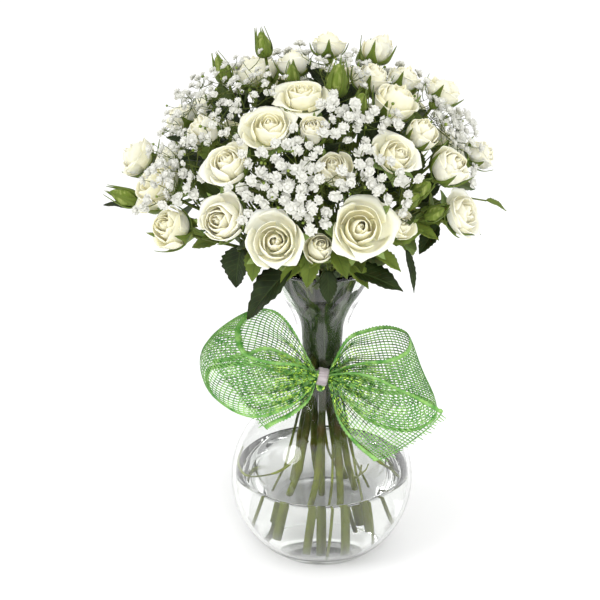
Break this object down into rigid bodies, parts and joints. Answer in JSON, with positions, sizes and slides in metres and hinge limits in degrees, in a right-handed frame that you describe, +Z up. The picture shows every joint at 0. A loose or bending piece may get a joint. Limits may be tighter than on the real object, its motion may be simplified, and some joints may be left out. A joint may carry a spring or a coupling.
{
  "type": "floral table centerpiece",
  "caption": "Round bouquet of white spray roses and gypsophila with leaves, in a clear glass bottle vase with water and a green net bow at its neck.",
  "frame": {"origin": "centre of the vase's base, on the surface that it stands on", "axes": "+Z up along the vase's axis, -Y towards the front where the bow is, +X to its right"},
  "size_m": [0.2825, 0.241, 0.3786],
  "materials": {
    "vase_glass": "polished, clear",
    "water": "clear, still",
    "rose_petal": "matte, velvety, cream white",
    "rose_green": "satin, dark green leaves and olive stems",
    "gypsophila_floret": "matte white on thin green stalks",
    "net_ribbon": "open net with glints, green",
    "tie_band": "satin, pale grey pink"
  },
  "bodies": {
    "root": {"vase": "vase_glass", "water": "water", "rose_1": "rose_petal", "rose_2": "rose_petal", "rose_3": "rose_petal", "rose_4": "rose_petal", "rose_5": "rose_petal", "rose_6": "rose_petal", "rose_7": "rose_petal", "rose_8": "rose_petal", "rose_9": "rose_petal", "rose_10": "rose_petal", "rose_11": "rose_petal", "rose_12": "rose_petal", "rose_13": "rose_petal", "rose_14": "rose_petal", "rose_15": "rose_petal", "rose_16": "rose_petal", "rose_17": "rose_petal", "rose_18": "rose_petal", "rose_19": "rose_petal", "rose_20": "rose_petal", "rose_21": "rose_petal", "rose_22": "rose_petal", "rose_23": "rose_petal", "rose_24": "rose_petal", "rose_25": "rose_petal", "rose_26": "rose_petal", "rose_27": "rose_petal", "rose_28": "rose_petal", "rose_29": "rose_petal", "rose_30": "rose_petal", "rose_31": "rose_petal", "rose_32": "rose_petal", "rose_33": "rose_petal", "rose_34": "rose_petal", "rose_35": "rose_petal", "rose_36": "rose_petal", "rose_37": "rose_petal", "rose_stem_1": "rose_green", "rose_stem_2": "rose_green", "rose_stem_3": "rose_green", "rose_stem_4": "rose_green", "rose_stem_5": "rose_green", "rose_stem_6": "rose_green", "rose_stem_7": "rose_green", "rose_stem_8": "rose_green", "gypsophila_1": "gypsophila_floret", "gypsophila_2": "gypsophila_floret", "gypsophila_3": "gypsophila_floret", "gypsophila_4": "gypsophila_floret", "gypsophila_5": "gypsophila_floret", "gypsophila_6": "gypsophila_floret", "bow_ribbon": "net_ribbon", "bow_tie": "tie_band"}
  },
  "joints": []
}
